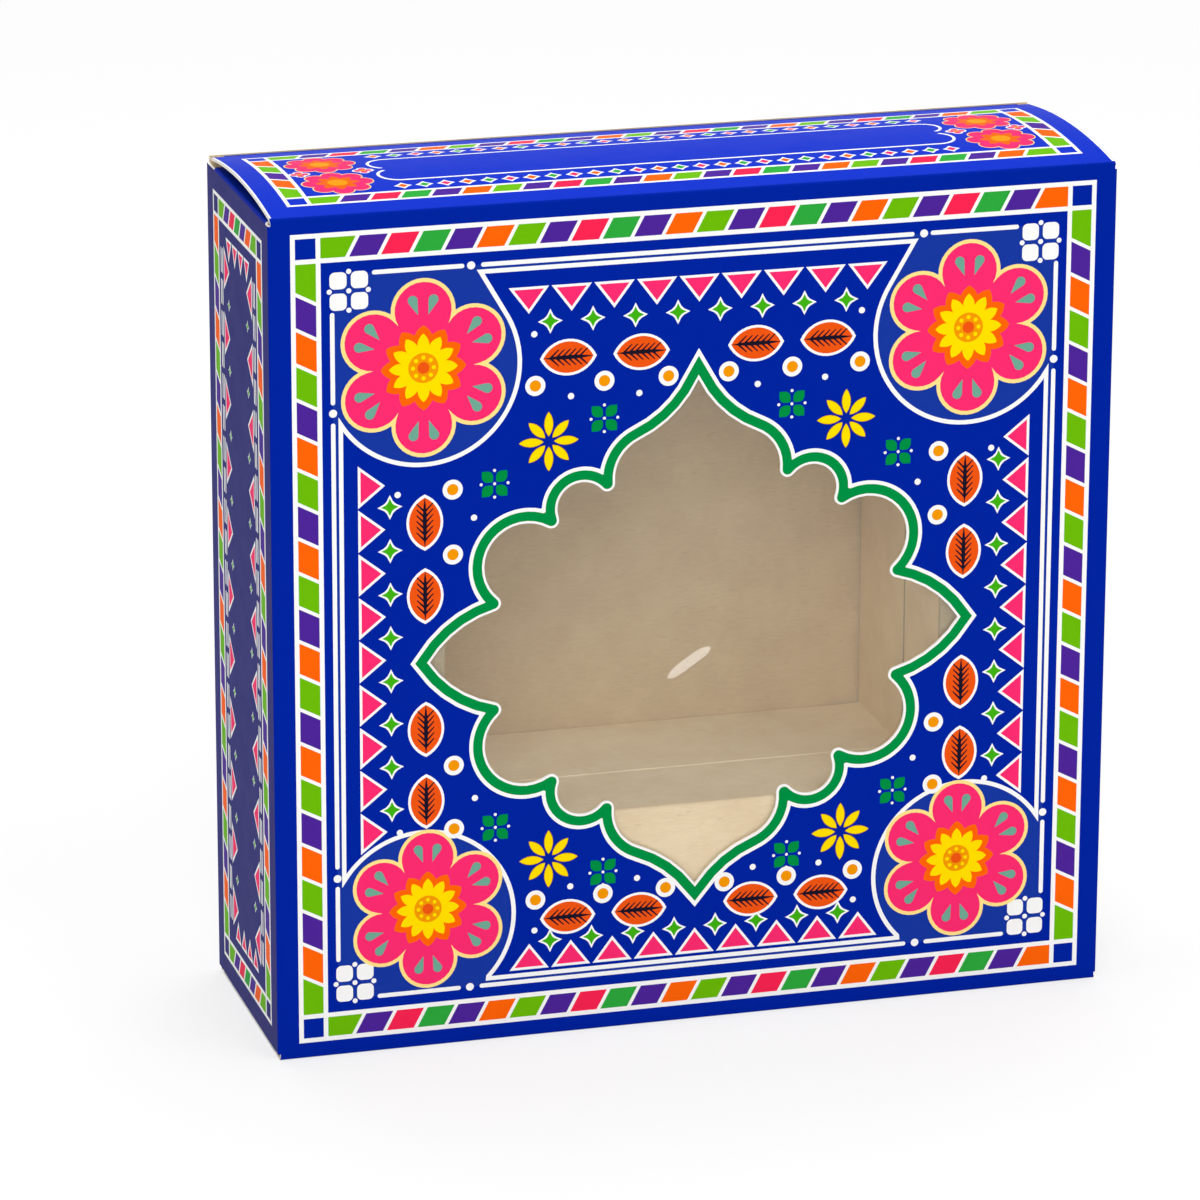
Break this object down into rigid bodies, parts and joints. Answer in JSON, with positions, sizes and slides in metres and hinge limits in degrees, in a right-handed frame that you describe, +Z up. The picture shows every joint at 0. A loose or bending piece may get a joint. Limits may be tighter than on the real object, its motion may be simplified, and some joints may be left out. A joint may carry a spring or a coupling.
{
  "type": "hamper box",
  "caption": "Upright paperboard carton with a multifoil film window, hinged lid and bottom with tuck flaps, folding dust flaps and a raised inner display deck.",
  "frame": {"origin": "middle of the base, on the surface that the carton stands on", "axes": "+X to the right along the width, -Y out of the windowed front, +Z up"},
  "size_m": [0.165, 0.0508, 0.1669],
  "materials": {
    "printed_board": "satin",
    "raw_board": "matte",
    "clear_film": "gloss",
    "glue": "satin"
  },
  "bodies": {
    "carton": {"front_panel": "printed_board", "back_panel": "printed_board", "left_panel": "printed_board", "right_panel": "printed_board", "front_left_crease": "printed_board", "front_right_crease": "printed_board", "back_left_crease": "printed_board", "glue_flap_crease": "printed_board", "glue_flap": "printed_board", "seam_glue": "glue", "window_glue": "glue", "window_film": "clear_film", "lid_crease": "printed_board", "bottom_crease": "printed_board", "top_left_dust_crease": "printed_board", "top_right_dust_crease": "printed_board", "bottom_left_dust_crease": "printed_board", "bottom_right_dust_crease": "printed_board", "fitment_deck": "raw_board", "fitment_apron": "raw_board", "fitment_apron_crease": "raw_board", "fitment_rear_flange": "raw_board", "fitment_rear_crease": "raw_board", "fitment_glue": "glue", "fitment_left_cheek": "raw_board", "fitment_left_crease": "raw_board", "fitment_right_cheek": "raw_board", "fitment_right_crease": "raw_board", "fitment_left_wing": "raw_board", "fitment_left_wing_crease": "raw_board", "fitment_right_wing": "raw_board", "fitment_right_wing_crease": "raw_board"},
    "lid": {"lid_panel": "printed_board", "lid_tuck_crease": "printed_board"},
    "lid_tuck": {"lid_tuck_flap": "printed_board"},
    "bottom": {"bottom_panel": "printed_board", "bottom_tuck_crease": "printed_board"},
    "bottom_tuck": {"bottom_tuck_flap": "printed_board"},
    "top_left_dust": {"top_left_dust_flap": "printed_board"},
    "top_right_dust": {"top_right_dust_flap": "printed_board"},
    "bottom_left_dust": {"bottom_left_dust_flap": "printed_board"},
    "bottom_right_dust": {"bottom_right_dust_flap": "printed_board"}
  },
  "joints": [
    {"name": "lid_hinge", "type": "hinge", "parent": "carton", "child": "lid", "pos_m": [0, -0.02515, 0.16485], "axis": [1, 0, 0], "range_deg": [0, 125]},
    {"name": "lid_tuck_hinge", "type": "hinge", "parent": "lid", "child": "lid_tuck", "pos_m": [0, 0.02335, 0.16485], "axis": [1, 0, 0], "range_deg": [0, 50]},
    {"name": "bottom_hinge", "type": "hinge", "parent": "carton", "child": "bottom", "pos_m": [0, -0.02515, 0.00025], "axis": [-1, 0, 0], "range_deg": [0, 125]},
    {"name": "bottom_tuck_hinge", "type": "hinge", "parent": "bottom", "child": "bottom_tuck", "pos_m": [0, 0.02335, 0.00025], "axis": [-1, 0, 0], "range_deg": [0, 50]},
    {"name": "top_left_dust_hinge", "type": "hinge", "parent": "carton", "child": "top_left_dust", "pos_m": [-0.08205, 0, 0.1638], "axis": [0, 1, 0], "range_deg": [0, 88]},
    {"name": "top_right_dust_hinge", "type": "hinge", "parent": "carton", "child": "top_right_dust", "pos_m": [0.08205, 0, 0.1638], "axis": [0, -1, 0], "range_deg": [0, 88]},
    {"name": "bottom_left_dust_hinge", "type": "hinge", "parent": "carton", "child": "bottom_left_dust", "pos_m": [-0.08205, 0, 0.0013], "axis": [0, -1, 0], "range_deg": [0, 88]},
    {"name": "bottom_right_dust_hinge", "type": "hinge", "parent": "carton", "child": "bottom_right_dust", "pos_m": [0.08205, 0, 0.0013], "axis": [0, 1, 0], "range_deg": [0, 88]}
  ],
  "couplings": [
    {"joint": "lid_tuck_hinge", "follows": "lid_hinge", "ratio": 0.4},
    {"joint": "bottom_tuck_hinge", "follows": "bottom_hinge", "ratio": 0.4}
  ]
}
